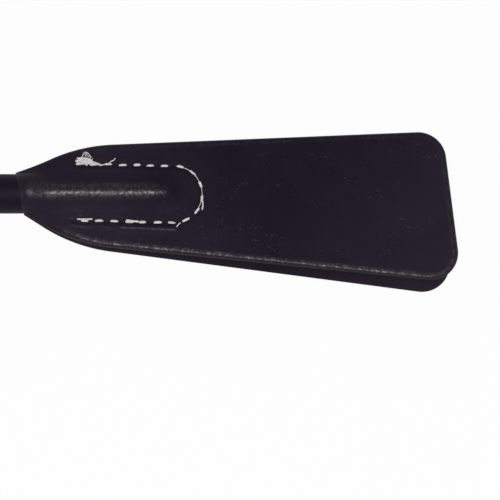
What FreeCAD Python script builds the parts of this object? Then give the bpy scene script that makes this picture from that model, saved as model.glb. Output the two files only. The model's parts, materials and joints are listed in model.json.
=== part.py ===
"""A leather-flapped riding crop of the jumping-bat kind, lying along X with its flap at the +X end.

The origin is the centre of the butt cap's flat end. +X runs along the shaft to the flap, +Y lies across the
flap and +Z stands out of the flap's front leaf. All sizes are in millimetres.

From the inside out the crop is a glass-fibre rod in a braided cover, a turned handle core on its thick end, a
leather strip wound round that core, and a cap and a collar that are pinned on. The flap is two leather leaves,
formed over the shaft's whipped tip and sewn together by one U-shaped seam. Beyond the seam the leaves are free:
the pair bends as one about the seam's end, and the back leaf gapes away from the front one about the same line.
"""

import FreeCAD, Part
import math
import os

# ---- driving dimensions ----

overall_length = 560.0        # butt end to the front leaf's far edge, on the shaft's axis

# fits
glue_gap = 0.05               # radial film between layers that are glued one over the other
pin_gap = 0.02                # radial room round a pin
leaf_fit = 0.10               # radial room between the shaft's tip and the formed leaves
hinge_gap = 0.20              # running room round the leaves' turning ends

# shaft
rod_butt_radius = 4.3         # glass-fibre rod in the handle
rod_tip_radius = 3.55         # the same rod at the flap
rod_chamfer = 0.6
braid_wall = 1.4
tip_whipping_length = 14.0    # waxed thread that closes the braid at the tip
tip_cover = 3.5               # whipping and wax beyond the rod's end
shaft_in_flap = 36.0          # how far the shaft's tip reaches past the flap's neck edge

# flap leaves, both cut with one pattern
leaf_thickness = 2.0
leaf_gap = 0.3                # air between the two leaves
front_leaf_length = 108.0     # neck edge to far edge, on the leaf's centre line
back_leaf_length = 107.0
neck_width = 11.0
shoulder_from_neck = 14.5
shoulder_width = 24.5
shoulder_radius = 45.0
far_width = 38.4
far_corner_radius = 7.5
edge_skew = 8.0               # degrees that both end cuts are off square
front_lean = 1.9              # degrees that a leaf's centre line falls away from the shaft towards -Y
back_lean = 3.4
edge_round = 0.85             # burnished rounding along the free leaves' cut edges
foot_radius = 0.6             # inside bend where the leather leaves the shaft

# seam
seam_from_neck = 13.5
seam_centre_from_neck = 37.5  # centre of the seam's half circle
seam_half_width = 7.5
stitch_pitch = 3.5
stitch_length = 2.3
stitch_width = 0.75
stitch_height = 0.45

# bending line
hinge_from_neck = 50.0
bend_angle = 50.0             # the flap bends this far either way
gape_angle = 30.0             # the back leaf opens this far from the front one
notch_margin = 4.0            # degrees of spare opening at the bending line

# handle
handle_length = 196.0         # butt end to the collar's front
core_butt_radius = 9.4
core_front_radius = 8.2
grip_wall = 2.2
skived_wall = 1.0             # grip leather under the whipping
lap_pitch = 15.0              # one turn of the wound strip
lap_depth = 0.8
lap_slope = 6.0               # length of strip that sinks towards the lap's edge
binding_thread = 0.9          # diameter of the whipping thread
binding_turns = 9
rod_butt_from_end = 28.0      # end of the rod inside the handle

# cap
cap_radius = 14.0
cap_round = 6.0               # rounding between the flat end and the rim
cap_rim = 4.0                 # length of the parallel rim
cap_under = 3.6               # length of the hollow curve under the rim
cap_skirt = 4.0               # parallel skirt over the end of the grip
cap_skirt_wall = 1.1
cap_web = 4.0                 # metal between the end face and the socket
cap_tenon_radius = 7.6
cap_tenon = 8.0

# collar
collar_radius = 9.2
collar_band = 8.0             # parallel band between the two beads
collar_bead = 1.6             # length of each bead
bead_height = 0.5
collar_nose = 3.2             # rounded front
collar_lip = 1.2              # height of the lip's flat front face
collar_tenon_radius = 7.1

# pins
cap_pin_radius = 0.9
collar_pin_radius = 0.7
cap_pin_depth = 8.0
collar_pin_depth = 2.9

# ---- places that follow from them ----

neck_x = overall_length - front_leaf_length
tip_x = neck_x + shaft_in_flap
hinge_x = neck_x + hinge_from_neck
shaft_tip_radius = rod_tip_radius + glue_gap + braid_wall
half_gap = leaf_gap / 2
leaf_top = half_gap + leaf_thickness

cap_rim_x = cap_round + cap_rim
cap_length = cap_rim_x + cap_under + cap_skirt
core_shoulder_x = cap_web + glue_gap + cap_tenon
collar_length = collar_nose + collar_band + 2 * collar_bead
collar_x = handle_length - collar_length
binding_length = binding_thread * binding_turns
binding_x = collar_x - binding_length
leaf_reach = 4 * far_width    # more than any outline needs

X = FreeCAD.Vector(1, 0, 0)
Y = FreeCAD.Vector(0, 1, 0)
Z = FreeCAD.Vector(0, 0, 1)
ORIGIN = FreeCAD.Vector(0, 0, 0)


def point(x, y=0.0, z=0.0):
    return FreeCAD.Vector(x, y, z)


def line(a, b):
    return Part.makeLine(a, b)


def arc(a, middle, b):
    return Part.Arc(a, middle, b).toShape()


def turned(edges_or_points):
    """A solid of revolution about X, from a closed outline in the XZ half plane."""
    if isinstance(edges_or_points[0], FreeCAD.Vector):
        wire = Part.makePolygon(edges_or_points + edges_or_points[:1])
    else:
        wire = Part.Wire(edges_or_points)
    return Part.Face(wire).revolve(ORIGIN, X, 360)


def sleeve(x0, x1, inner, outer):
    """A turned sleeve from x0 to x1. inner and outer give a radius for a place along X."""
    return turned([
        point(x0, 0, inner(x0)),
        point(x1, 0, inner(x1)),
        point(x1, 0, outer(x1)),
        point(x0, 0, outer(x0)),
    ])


def flaring_arc(level, away):
    """An arc that starts at level parallel to X, and curves off to away."""
    run, rise = away.x - level.x, away.z - level.z
    radius = (run ** 2 + rise ** 2) / (2 * abs(rise))
    side = math.copysign(1, rise)
    half_turn = math.asin(abs(run) / radius) / 2
    middle = point(
        level.x + math.copysign(radius * math.sin(half_turn), run),
        0,
        level.z + side * radius * (1 - math.cos(half_turn)),
    )
    return arc(level, middle, away)


def only_solid(shape):
    """The one solid in a shape that a boolean operation has left in a compound."""
    assert len(shape.Solids) == 1, f"{len(shape.Solids)} solids where one was meant"
    return shape.Solids[0]


# ---- radii along the shaft and the handle ----

def rod_radius(x):
    """The rod tapers from its butt to the flap's neck edge, and is parallel inside the flap."""
    share = (x - rod_butt_from_end) / (neck_x - rod_butt_from_end)
    share = min(max(share, 0.0), 1.0)
    return rod_butt_radius + share * (rod_tip_radius - rod_butt_radius)


def braid_bore(x):
    return rod_radius(x) + glue_gap


def shaft_radius(x):
    return braid_bore(x) + braid_wall


def core_radius(x):
    share = (x - core_shoulder_x) / (handle_length - core_shoulder_x)
    return core_butt_radius + share * (core_front_radius - core_butt_radius)


def grip_bore(x):
    return core_radius(x) + glue_gap


def grip_radius(x):
    return grip_bore(x) + grip_wall


def skived_radius(x):
    return grip_bore(x) + skived_wall


# ---- shaft ----

def rod():
    end_x = tip_x - tip_cover
    return turned([
        point(rod_butt_from_end),
        point(rod_butt_from_end, 0, rod_butt_radius - rod_chamfer),
        point(rod_butt_from_end + rod_chamfer, 0, rod_radius(rod_butt_from_end + rod_chamfer)),
        point(neck_x, 0, rod_tip_radius),
        point(end_x - rod_chamfer, 0, rod_tip_radius),
        point(end_x, 0, rod_tip_radius - rod_chamfer),
        point(end_x),
    ])


def braid():
    end_x = tip_x - tip_whipping_length
    return turned([
        point(rod_butt_from_end, 0, braid_bore(rod_butt_from_end)),
        point(neck_x, 0, braid_bore(neck_x)),
        point(end_x, 0, braid_bore(end_x)),
        point(end_x, 0, shaft_radius(end_x)),
        point(neck_x, 0, shaft_radius(neck_x)),
        point(rod_butt_from_end, 0, shaft_radius(rod_butt_from_end)),
    ])


def tip_whipping():
    """Waxed thread over the rod's bare end, closed by a domed tip."""
    start_x = tip_x - tip_whipping_length
    dome_x = tip_x - shaft_tip_radius
    floor_x = tip_x - tip_cover + glue_gap
    bore = rod_tip_radius + glue_gap
    rise = shaft_tip_radius * math.sin(math.radians(45))
    return turned([
        line(point(start_x, 0, bore), point(floor_x, 0, bore)),
        line(point(floor_x, 0, bore), point(floor_x)),
        line(point(floor_x), point(tip_x)),
        arc(point(tip_x), point(dome_x + rise, 0, rise), point(dome_x, 0, shaft_tip_radius)),
        line(point(dome_x, 0, shaft_tip_radius), point(start_x, 0, shaft_tip_radius)),
        line(point(start_x, 0, shaft_tip_radius), point(start_x, 0, bore)),
    ])


# ---- flap leaves ----

def rounded_corner(before, corner, after, radius):
    """Where a corner of an outline is rounded: the two tangent points and the arc's middle."""
    to_before = (before - corner).normalize()
    to_after = (after - corner).normalize()
    half = to_before.getAngle(to_after) / 2
    bisector = (to_before + to_after).normalize()
    reach = radius / math.tan(half)
    middle = corner + bisector * (radius / math.sin(half) - radius)
    return corner + to_before * reach, middle, corner + to_after * reach


def leaf_outline(length, lean):
    """The leaf's pattern as a face in the XY plane: a narrow neck, two shoulders and a long flare to the far
    edge. Both end cuts are skewed the same way, and the whole leaf leans about its neck."""
    skew = math.tan(math.radians(edge_skew))
    neck, shoulder, far = neck_width / 2, shoulder_width / 2, far_width / 2
    corners = [
        (point(-skew * neck, neck), 0),
        (point(shoulder_from_neck, shoulder), shoulder_radius),
        (point(length - skew * far, far), far_corner_radius),
        (point(length + skew * far, -far), far_corner_radius),
        (point(shoulder_from_neck, -shoulder), shoulder_radius),
        (point(skew * neck, -neck), 0),
    ]
    edges, last = [], None
    count = len(corners)
    for i, (corner, radius) in enumerate(corners):
        before, after = corners[i - 1][0], corners[(i + 1) % count][0]
        if radius:
            start, middle, end = rounded_corner(before, corner, after, radius)
        else:
            start = middle = end = corner
        if last is not None:
            edges.append(line(last, start))
        if radius:
            edges.append(arc(start, middle, end))
        last = end
    edges.append(line(last, corners[0][0]))
    face = Part.Face(Part.Wire(edges))
    face.rotate(ORIGIN, Z, -lean)
    face.translate(point(neck_x))
    return face


def draped_profile():
    """Half the section of a leaf that lies over the shaft, as edges in the YZ plane from the axis outwards.
    Leather of one thickness follows the shaft, bends back through the foot and lies flat beyond it."""
    inner = shaft_tip_radius + leaf_fit
    outer = inner + leaf_thickness
    foot = foot_radius + leaf_thickness
    foot_z = half_gap + foot
    foot_y = math.sqrt((inner + foot) ** 2 - foot_z ** 2)
    tangent = math.atan2(foot_z, foot_y)
    shaft_middle = (tangent + math.pi / 2) / 2
    foot_middle = (tangent + math.pi / 2) / 2

    def on_shaft(radius, angle):
        return point(0, radius * math.cos(angle), radius * math.sin(angle))

    def in_foot(radius, angle):
        return point(0, foot_y - radius * math.cos(angle), foot_z - radius * math.sin(angle))

    edge = leaf_reach
    return [
        arc(on_shaft(outer, math.pi / 2), on_shaft(outer, shaft_middle), on_shaft(outer, tangent)),
        arc(in_foot(foot_radius, tangent), in_foot(foot_radius, foot_middle), in_foot(foot_radius, math.pi / 2)),
        line(point(0, foot_y, leaf_top), point(0, edge, leaf_top)),
        line(point(0, edge, leaf_top), point(0, edge, half_gap)),
        line(point(0, edge, half_gap), point(0, foot_y, half_gap)),
        arc(in_foot(foot, math.pi / 2), in_foot(foot, foot_middle), in_foot(foot, tangent)),
        arc(on_shaft(inner, tangent), on_shaft(inner, shaft_middle), on_shaft(inner, math.pi / 2)),
        line(on_shaft(inner, math.pi / 2), on_shaft(outer, math.pi / 2)),
    ]


def draped_sheet():
    """Leather formed over the shaft: its section runs along the shaft and turns round the domed tip."""
    half = Part.Face(Part.Wire(draped_profile()))
    dome_x = tip_x - shaft_tip_radius
    start_x = neck_x - neck_width
    left = half.copy()
    left.translate(point(start_x))
    right = left.mirror(ORIGIN, Y)
    along = X * (dome_x - start_x)
    nose = half.copy()
    nose.translate(point(dome_x))
    nose = nose.revolve(point(dome_x), Z, -180)
    sheet = left.extrude(along).fuse([right.extrude(along), nose])
    return only_solid(sheet.removeSplitter())


def whole_leaf(length, lean):
    """One leaf in the front leaf's place, from the neck to the far edge."""
    outline = leaf_outline(length, lean)
    tall = 2 * (shaft_tip_radius + leaf_fit + leaf_thickness)
    return only_solid(draped_sheet().common(outline.extrude(Z * tall)))


def bending_cutter(angle):
    """What the turning end of the free leaves sweeps at the bending line when the leaf rises to this angle."""
    turn = math.radians(angle + notch_margin)
    end_radius = leaf_top + hinge_gap
    touch = point(-end_radius * math.sin(turn), 0, end_radius * math.cos(turn))
    rise = 3 * end_radius
    slant = (rise - touch.z) / math.tan(turn)
    outline = [
        ORIGIN,
        touch,
        point(touch.x + slant, 0, rise),
        point(leaf_reach, 0, rise),
        point(leaf_reach, 0, -rise),
        point(0, 0, -rise),
    ]
    wedge = Part.Face(Part.makePolygon(outline + outline[:1]))
    wedge.translate(point(hinge_x, -leaf_reach))
    wedge = wedge.extrude(Y * (2 * leaf_reach))
    rounded = Part.makeCylinder(end_radius, 2 * leaf_reach, point(hinge_x, -leaf_reach), Y)
    return wedge.fuse(rounded)


def sewn_leaf(leaf, angle):
    """The part of a leaf that stays on the shaft, hollowed for the turning end of the free part."""
    return only_solid(leaf.cut(bending_cutter(angle)))


def free_leaf(length, lean, end_angle):
    """The part of a leaf beyond the bending line: a flat plate with burnished edges, whose inner end is
    rounded about the bending line through this many degrees."""
    plate = leaf_outline(length, lean)
    plate.translate(Z * half_gap)
    plate = plate.extrude(Z * leaf_thickness)
    rims = [
        edge for edge in plate.Edges
        if edge.BoundBox.ZLength < leaf_thickness / 2 and edge.BoundBox.XMax > neck_x + shoulder_from_neck
    ]
    plate = plate.makeFillet(edge_round, rims)
    keep = Part.makeBox(leaf_reach, 2 * leaf_reach, 3 * leaf_top, point(hinge_x, -leaf_reach, -leaf_top))
    plate = only_solid(plate.common(keep))
    inner_end = min(plate.Faces, key=lambda face: face.CenterOfMass.x)
    end = inner_end.revolve(point(hinge_x), Y, -end_angle)
    return only_solid(plate.fuse(end).removeSplitter())


def to_back(shape):
    """Turns a shape made in the front leaf's place over to the back of the flap."""
    return shape.mirror(ORIGIN, Z)


# ---- seam ----

def seam_place(distance):
    """A place on the seam, as a point and a direction in the XY plane, this far along it from its +Y end."""
    straight = seam_centre_from_neck - seam_from_neck
    bend = math.pi * seam_half_width
    centre_x = neck_x + seam_centre_from_neck
    if distance < straight:
        return point(neck_x + seam_from_neck + distance, seam_half_width), 0.0
    if distance < straight + bend:
        turn = (distance - straight) / seam_half_width
        place = point(centre_x + seam_half_width * math.sin(turn), seam_half_width * math.cos(turn))
        return place, -math.degrees(turn)
    return point(centre_x - (distance - straight - bend), -seam_half_width), 180.0


def stitch(place, direction):
    """One stitch that lies on the leaf: a flat bar with round ends."""
    reach, half = (stitch_length - stitch_width) / 2, stitch_width / 2
    wire = Part.Wire([
        line(point(-reach, -half), point(reach, -half)),
        arc(point(reach, -half), point(reach + half), point(reach, half)),
        line(point(reach, half), point(-reach, half)),
        arc(point(-reach, half), point(-reach - half), point(-reach, -half)),
    ])
    bar = Part.Face(wire).extrude(Z * stitch_height)
    bar.rotate(ORIGIN, Z, direction)
    bar.translate(place + Z * leaf_top)
    return bar


def stitches(leaf):
    """All the stitches on the front face, trimmed where the leather rises to the shaft."""
    straight = seam_centre_from_neck - seam_from_neck
    length = 2 * straight + math.pi * seam_half_width
    count = round(length / stitch_pitch)
    bars = [stitch(*seam_place((i + 0.5) * length / count)) for i in range(count)]
    return Part.makeCompound([only_solid(bar.cut(leaf)) for bar in bars])


# ---- handle ----

def handle_core():
    """Turned wood round the braided shaft, with a tenon at each end for the cap and the collar."""
    butt_x = cap_web + glue_gap
    front_x = handle_length - collar_nose
    floor_x = rod_butt_from_end - glue_gap

    def bore(x):
        return shaft_radius(x) + glue_gap

    return turned([
        point(butt_x),
        point(butt_x, 0, cap_tenon_radius),
        point(core_shoulder_x, 0, cap_tenon_radius),
        point(core_shoulder_x, 0, core_butt_radius),
        point(collar_x, 0, core_radius(collar_x)),
        point(collar_x, 0, collar_tenon_radius),
        point(front_x, 0, collar_tenon_radius),
        point(front_x, 0, bore(front_x)),
        point(floor_x, 0, bore(floor_x)),
        point(floor_x),
    ])


def lap_groove():
    """The step between one turn of the wound strip and the next: a helix that sinks slowly over the strip and
    ends in the steep edge of the next turn. It follows the handle's taper."""
    start_x = core_shoulder_x - lap_pitch
    turns_length = binding_x + lap_pitch - start_x
    taper = (grip_radius(binding_x) - grip_radius(core_shoulder_x)) / (binding_x - core_shoulder_x)
    start_radius = grip_radius(start_x)
    helix = Part.makeLongHelix(lap_pitch, turns_length, start_radius, math.degrees(math.atan(taper)))
    clear = lap_depth
    profile = Part.makePolygon([
        point(start_radius + clear, 0, 0),
        point(start_radius - lap_depth, 0, 0),
        point(start_radius + taper * lap_slope, 0, lap_slope),
        point(start_radius + taper * lap_slope + clear, 0, lap_slope),
        point(start_radius + clear, 0, 0),
    ])
    groove = Part.Wire(helix.Edges).makePipeShell([profile], True, True)
    groove.rotate(ORIGIN, Y, 90)
    groove.translate(point(start_x))
    return groove


def grip_leather():
    """The leather strip wound round the core. Its front end is skived thin under the whipping."""
    start_x = core_shoulder_x + glue_gap
    end_x = collar_x - glue_gap
    tube = turned([
        point(start_x, 0, grip_bore(start_x)),
        point(end_x, 0, grip_bore(end_x)),
        point(end_x, 0, skived_radius(end_x)),
        point(binding_x, 0, skived_radius(binding_x)),
        point(binding_x, 0, grip_radius(binding_x)),
        point(start_x, 0, grip_radius(start_x)),
    ])
    return only_solid(tube.cut(lap_groove()))


def grip_whipping():
    """Thread bound over the skived end of the grip leather, as one band with rounded shoulders."""
    start_x, end_x = binding_x + glue_gap, collar_x - glue_gap
    bed = skived_radius(binding_x) + glue_gap
    round_off = binding_thread / 2
    top = bed + binding_thread
    bulge = round_off * math.sin(math.radians(45))
    return turned([
        line(point(start_x, 0, bed), point(start_x, 0, top - round_off)),
        arc(
            point(start_x, 0, top - round_off),
            point(start_x + round_off - bulge, 0, top - round_off + bulge),
            point(start_x + round_off, 0, top),
        ),
        line(point(start_x + round_off, 0, top), point(end_x - round_off, 0, top)),
        arc(
            point(end_x - round_off, 0, top),
            point(end_x - round_off + bulge, 0, top - round_off + bulge),
            point(end_x, 0, top - round_off),
        ),
        line(point(end_x, 0, top - round_off), point(end_x, 0, bed)),
        line(point(end_x, 0, bed), point(start_x, 0, bed)),
    ])


# ---- cap and collar ----

def cap_blank():
    """The mushroom cap before its socket is bored."""
    skirt_radius = grip_radius(core_shoulder_x) + glue_gap + cap_skirt_wall
    under_x = cap_rim_x + cap_under
    return turned([
        line(ORIGIN, point(0, 0, cap_radius - cap_round)),
        flaring_arc(point(cap_round, 0, cap_radius), point(0, 0, cap_radius - cap_round)),
        line(point(cap_round, 0, cap_radius), point(cap_rim_x, 0, cap_radius)),
        flaring_arc(point(under_x, 0, skirt_radius), point(cap_rim_x, 0, cap_radius)),
        line(point(under_x, 0, skirt_radius), point(cap_length, 0, skirt_radius)),
        line(point(cap_length, 0, skirt_radius), point(cap_length)),
        line(point(cap_length), ORIGIN),
    ])


def cap_pin_hole(radius):
    return Part.makeCylinder(radius, cap_pin_depth, point(cap_round + cap_rim / 2, -cap_radius), Y)


def collar_pin_hole(radius):
    middle_x = collar_x + collar_bead + collar_band / 2
    return Part.makeCylinder(radius, collar_pin_depth, point(middle_x, -collar_radius), Y)


def cap():
    """The cap with its stepped socket: a tenon of the core, and the end of the grip round it."""
    socket = turned([
        point(cap_web),
        point(cap_web, 0, cap_tenon_radius + glue_gap),
        point(core_shoulder_x, 0, cap_tenon_radius + glue_gap),
        point(core_shoulder_x, 0, grip_radius(core_shoulder_x) + glue_gap),
        point(cap_length + cap_web, 0, grip_radius(core_shoulder_x) + glue_gap),
        point(cap_length + cap_web),
    ])
    return only_solid(cap_blank().cut(socket).cut(cap_pin_hole(cap_pin_radius + pin_gap)))


def collar_blank():
    """The collar before boring: a parallel band between two beads, and a rounded nose down to the shaft."""
    x0 = collar_x
    x1 = x0 + collar_bead
    x2 = x1 + collar_band
    x3 = x2 + collar_bead
    x4 = x3 + collar_nose
    nose_radius = shaft_radius(x4) + glue_gap + collar_lip
    top = collar_radius + bead_height
    return turned([
        line(point(x0), point(x0, 0, collar_radius)),
        arc(point(x0, 0, collar_radius), point((x0 + x1) / 2, 0, top), point(x1, 0, collar_radius)),
        line(point(x1, 0, collar_radius), point(x2, 0, collar_radius)),
        arc(point(x2, 0, collar_radius), point((x2 + x3) / 2, 0, top), point(x3, 0, collar_radius)),
        flaring_arc(point(x3, 0, collar_radius), point(x4, 0, nose_radius)),
        line(point(x4, 0, nose_radius), point(x4)),
        line(point(x4), point(x0)),
    ])


def collar():
    """The collar with its socket for the core's front tenon and a hole for the shaft."""
    socket_end = handle_length - collar_nose + glue_gap
    bore = turned([
        point(collar_x - collar_nose),
        point(collar_x - collar_nose, 0, collar_tenon_radius + glue_gap),
        point(socket_end, 0, collar_tenon_radius + glue_gap),
        point(socket_end, 0, shaft_radius(socket_end) + glue_gap),
        point(handle_length + collar_nose, 0, shaft_radius(handle_length) + glue_gap),
        point(handle_length + collar_nose),
    ])
    return only_solid(collar_blank().cut(bore).cut(collar_pin_hole(collar_pin_radius + pin_gap)))


# ---- the whole crop ----

def parts():
    front_whole = whole_leaf(front_leaf_length, front_lean)
    back_whole = whole_leaf(back_leaf_length, back_lean)
    front_end = 90 - notch_margin
    back_end = front_end - gape_angle
    cap_hole = cap_pin_hole(cap_pin_radius + pin_gap)
    collar_hole = collar_pin_hole(collar_pin_radius + pin_gap)
    return {
        "rod": rod(),
        "braided_cover": braid(),
        "tip_whipping": tip_whipping(),
        "front_leaf_sewn": sewn_leaf(front_whole, bend_angle),
        "back_leaf_sewn": to_back(sewn_leaf(back_whole, bend_angle + gape_angle)),
        "front_leaf_free": free_leaf(front_leaf_length, front_lean, front_end),
        "back_leaf_free": to_back(free_leaf(back_leaf_length, back_lean, back_end)),
        "front_stitches": stitches(front_whole),
        "back_stitches": to_back(stitches(back_whole)),
        "handle_core": only_solid(handle_core().cut(cap_hole).cut(collar_hole)),
        "grip_leather": grip_leather(),
        "grip_whipping": grip_whipping(),
        "cap": cap(),
        "cap_pin": only_solid(cap_pin_hole(cap_pin_radius).common(cap_blank())),
        "collar": collar(),
        "collar_pin": only_solid(collar_pin_hole(collar_pin_radius).common(collar_blank())),
    }


os.makedirs("parts", exist_ok=True)
for name, shape in parts().items():
    assert shape.isValid(), f"{name} is not a valid shape"
    shape.exportStep(f"parts/{name}.step")
    print(f"{name}: {len(shape.Solids)} solid(s), {shape.Volume / 1000:.2f} cm3")
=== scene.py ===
# %% [markdown]
# # Dressing a riding crop
# A riding crop is a springy rod under a braided cover, with a handle at one end and a leather flap at the
# other. The frame that is loaded here holds every solid of it in metres: +X runs along the shaft to the
# flap, +Y across the flap and +Z out of its front leaf. This lesson puts leather, thread and metal over
# those solids, one piece in each step, and ends with the studio.

# %% Open the frame
import bmesh
import bpy
import json
import math
import numpy as np
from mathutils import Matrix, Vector


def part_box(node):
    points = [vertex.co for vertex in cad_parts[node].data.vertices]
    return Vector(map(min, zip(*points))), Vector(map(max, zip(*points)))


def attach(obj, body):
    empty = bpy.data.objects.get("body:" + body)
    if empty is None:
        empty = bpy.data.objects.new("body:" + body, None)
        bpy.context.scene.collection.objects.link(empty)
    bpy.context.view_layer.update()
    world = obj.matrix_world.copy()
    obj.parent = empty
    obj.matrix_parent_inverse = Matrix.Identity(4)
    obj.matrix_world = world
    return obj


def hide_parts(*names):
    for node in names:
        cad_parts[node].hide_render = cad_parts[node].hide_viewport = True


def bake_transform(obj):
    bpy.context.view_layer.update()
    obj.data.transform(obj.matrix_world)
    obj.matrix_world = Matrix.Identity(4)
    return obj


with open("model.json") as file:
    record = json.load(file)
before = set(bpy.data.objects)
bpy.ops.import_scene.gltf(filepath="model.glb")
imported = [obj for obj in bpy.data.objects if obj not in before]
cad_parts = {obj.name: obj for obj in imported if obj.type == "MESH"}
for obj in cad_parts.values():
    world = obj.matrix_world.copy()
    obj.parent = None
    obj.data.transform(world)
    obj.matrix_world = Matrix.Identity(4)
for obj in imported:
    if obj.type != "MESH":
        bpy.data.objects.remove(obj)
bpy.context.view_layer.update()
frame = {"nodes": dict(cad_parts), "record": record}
joints = {joint["name"]: joint for joint in frame["record"]["behaviour"]["joints"]}
MM = 0.001
hinge_x = joints["flap_bend"]["pos_m"][0] / MM
neck_x = hinge_x - 50.0


# %% [markdown]
# ## Arithmetic on sockets
# Blender's materials and its Geometry Nodes share one Math node. Chains of Math nodes are hard to read in
# a script, so a small class wraps a socket and lets plus, minus, times and the rest add those nodes.
# Every other node comes from one method that takes the node's type, its settings and what goes into its
# sockets.

# %% A socket that can be reckoned with
def operator(operation):
    """An operator of the class and its reflected form, for a wire before and after the sign."""
    return (lambda wire, other: wire.step(operation, other),
            lambda wire, other: wire.sketch.node("ShaderNodeMath", {"operation": operation}, (other, wire)))


class Wire:
    """An output socket. Operators and the named steps on it add Math nodes to its tree."""

    def __init__(self, sketch, socket):
        self.sketch, self.socket = sketch, socket

    def step(self, operation, *others):
        return self.sketch.node("ShaderNodeMath", {"operation": operation}, (self,) + others)

    __add__, __radd__ = operator("ADD")
    __sub__, __rsub__ = operator("SUBTRACT")
    __mul__, __rmul__ = operator("MULTIPLY")
    __truediv__, __rtruediv__ = operator("DIVIDE")
    __pow__ = operator("POWER")[0]
    __gt__ = operator("GREATER_THAN")[0]

    def __neg__(self):
        return -1.0 * self

    def sin(self):
        return self.step("SINE")

    def cos(self):
        return self.step("COSINE")

    def size(self):
        return self.step("ABSOLUTE")

    def fraction(self):
        return self.step("FRACT")

    def at_most(self, other):
        return self.step("MINIMUM", other)

    def at_least(self, other):
        return self.step("MAXIMUM", other)

    def eased(self, low, high, start=0.0, end=1.0):
        """Goes smoothly from start to end while the value goes from low to high."""
        inputs = {"Value": self, "From Min": low, "From Max": high, "To Min": start, "To Max": end}
        return self.sketch.node("ShaderNodeMapRange", {"interpolation_type": "SMOOTHSTEP"}, inputs)

    def between(self, low, high):
        return self.at_least(low).at_most(high)


def found(sockets, key):
    """A socket by its number, its identifier or its name."""
    if isinstance(key, int):
        return sockets[key]
    for socket in sockets:
        if socket.identifier == key:
            return socket
    return next(socket for socket in sockets if socket.name == key and socket.enabled)


class Sketch:
    """A node tree that is drawn by calls."""

    def __init__(self, tree):
        self.tree = tree

    def node(self, kind, settings=None, inputs=(), out=0):
        made = self.tree.nodes.new(kind)
        for name, value in (settings or {}).items():
            setattr(made, name, value)
        pairs = inputs.items() if isinstance(inputs, dict) else enumerate(inputs)
        for key, value in pairs:
            socket = found(made.inputs, key)
            if isinstance(value, Wire):
                self.tree.links.new(value.socket, socket)
            else:
                socket.default_value = value
        return Wire(self, found(made.outputs, out)) if len(made.outputs) else made

    def parts(self, vector):
        apart = self.node("ShaderNodeSeparateXYZ", {}, (vector,))
        return [Wire(self, socket) for socket in apart.socket.node.outputs]

    def joined(self, x=0.0, y=0.0, z=0.0):
        return self.node("ShaderNodeCombineXYZ", {}, (x, y, z))


print("one class serves shader trees and geometry trees")

# %% [markdown]
# ## A recipe that bakes
# Thread, braid and stitches repeat by a rule, which is what Geometry Nodes are good at. A recipe is such
# a tree with named sizes. It ends in Realize Instances and Set Material, and its result is kept as a
# plain mesh.


# %% Recipes for what repeats
class Recipe(Sketch):
    """A Geometry Nodes tree with named sizes, which bakes into a plain mesh."""

    def __init__(self, name):
        super().__init__(bpy.data.node_groups.new(name, "GeometryNodeTree"))
        self.given = self.tree.nodes.new("NodeGroupInput")
        self.sizes = {}

    def size(self, name, value, kind="NodeSocketFloat"):
        socket = self.tree.interface.new_socket(name=name, in_out="INPUT", socket_type=kind)
        self.sizes[socket.identifier] = value
        return Wire(self, found(self.given.outputs, socket.identifier))

    def chance(self, low, high, seed):
        """A random number for each element."""
        return self.node("FunctionNodeRandomValue", {"data_type": "FLOAT"},
                         {"Min_001": low, "Max_001": high, "Seed": seed}, out="Value_001")

    def line(self, count):
        """A straight line of this many points."""
        line = self.node("GeometryNodeCurvePrimitiveLine", {}, {"End": (1, 0, 0)})
        return self.node("GeometryNodeResampleCurve", {}, {"Curve": line, "Count": count})

    def placed(self, shape, place):
        return self.node("GeometryNodeSetPosition", {}, {"Geometry": shape, "Position": place})

    def bake(self, name, shape, material):
        whole = self.node("GeometryNodeRealizeInstances", {}, (shape,))
        painted = self.node("GeometryNodeSetMaterial", {}, {"Geometry": whole, "Material": material})
        self.tree.interface.new_socket(name="Geometry", in_out="OUTPUT", socket_type="NodeSocketGeometry")
        end = self.tree.nodes.new("NodeGroupOutput")
        self.tree.links.new(painted.socket, end.inputs[0])
        holder = linked(bpy.data.objects.new(name, bpy.data.meshes.new(name)))
        modifier = holder.modifiers.new("recipe", "NODES")
        modifier.node_group = self.tree
        for identifier, value in self.sizes.items():
            modifier[identifier] = value
        ready = holder.evaluated_get(bpy.context.evaluated_depsgraph_get())
        mesh = bpy.data.meshes.new_from_object(ready)
        holder.modifiers.clear()
        holder.data = mesh
        mesh.shade_smooth()
        return holder


def linked(thing):
    bpy.context.scene.collection.objects.link(thing)
    return thing


def finished(piece, body, slot, *nodes):
    """Puts a piece on its body and hides the solids that it stands for."""
    if body:
        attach(piece, body)
    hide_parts(*nodes)
    triangles = sum(len(face.vertices) - 2 for face in piece.data.polygons)
    print(f"{piece.name}: {triangles} triangles for {', '.join(nodes)}")
    return piece


# %% [markdown]
# ## Materials
# All finishes are procedural and read Object coordinates, which are the frame's own metres here, so that
# a pattern has its real size: a noise of scale 1000 has features of about a millimetre.


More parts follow.
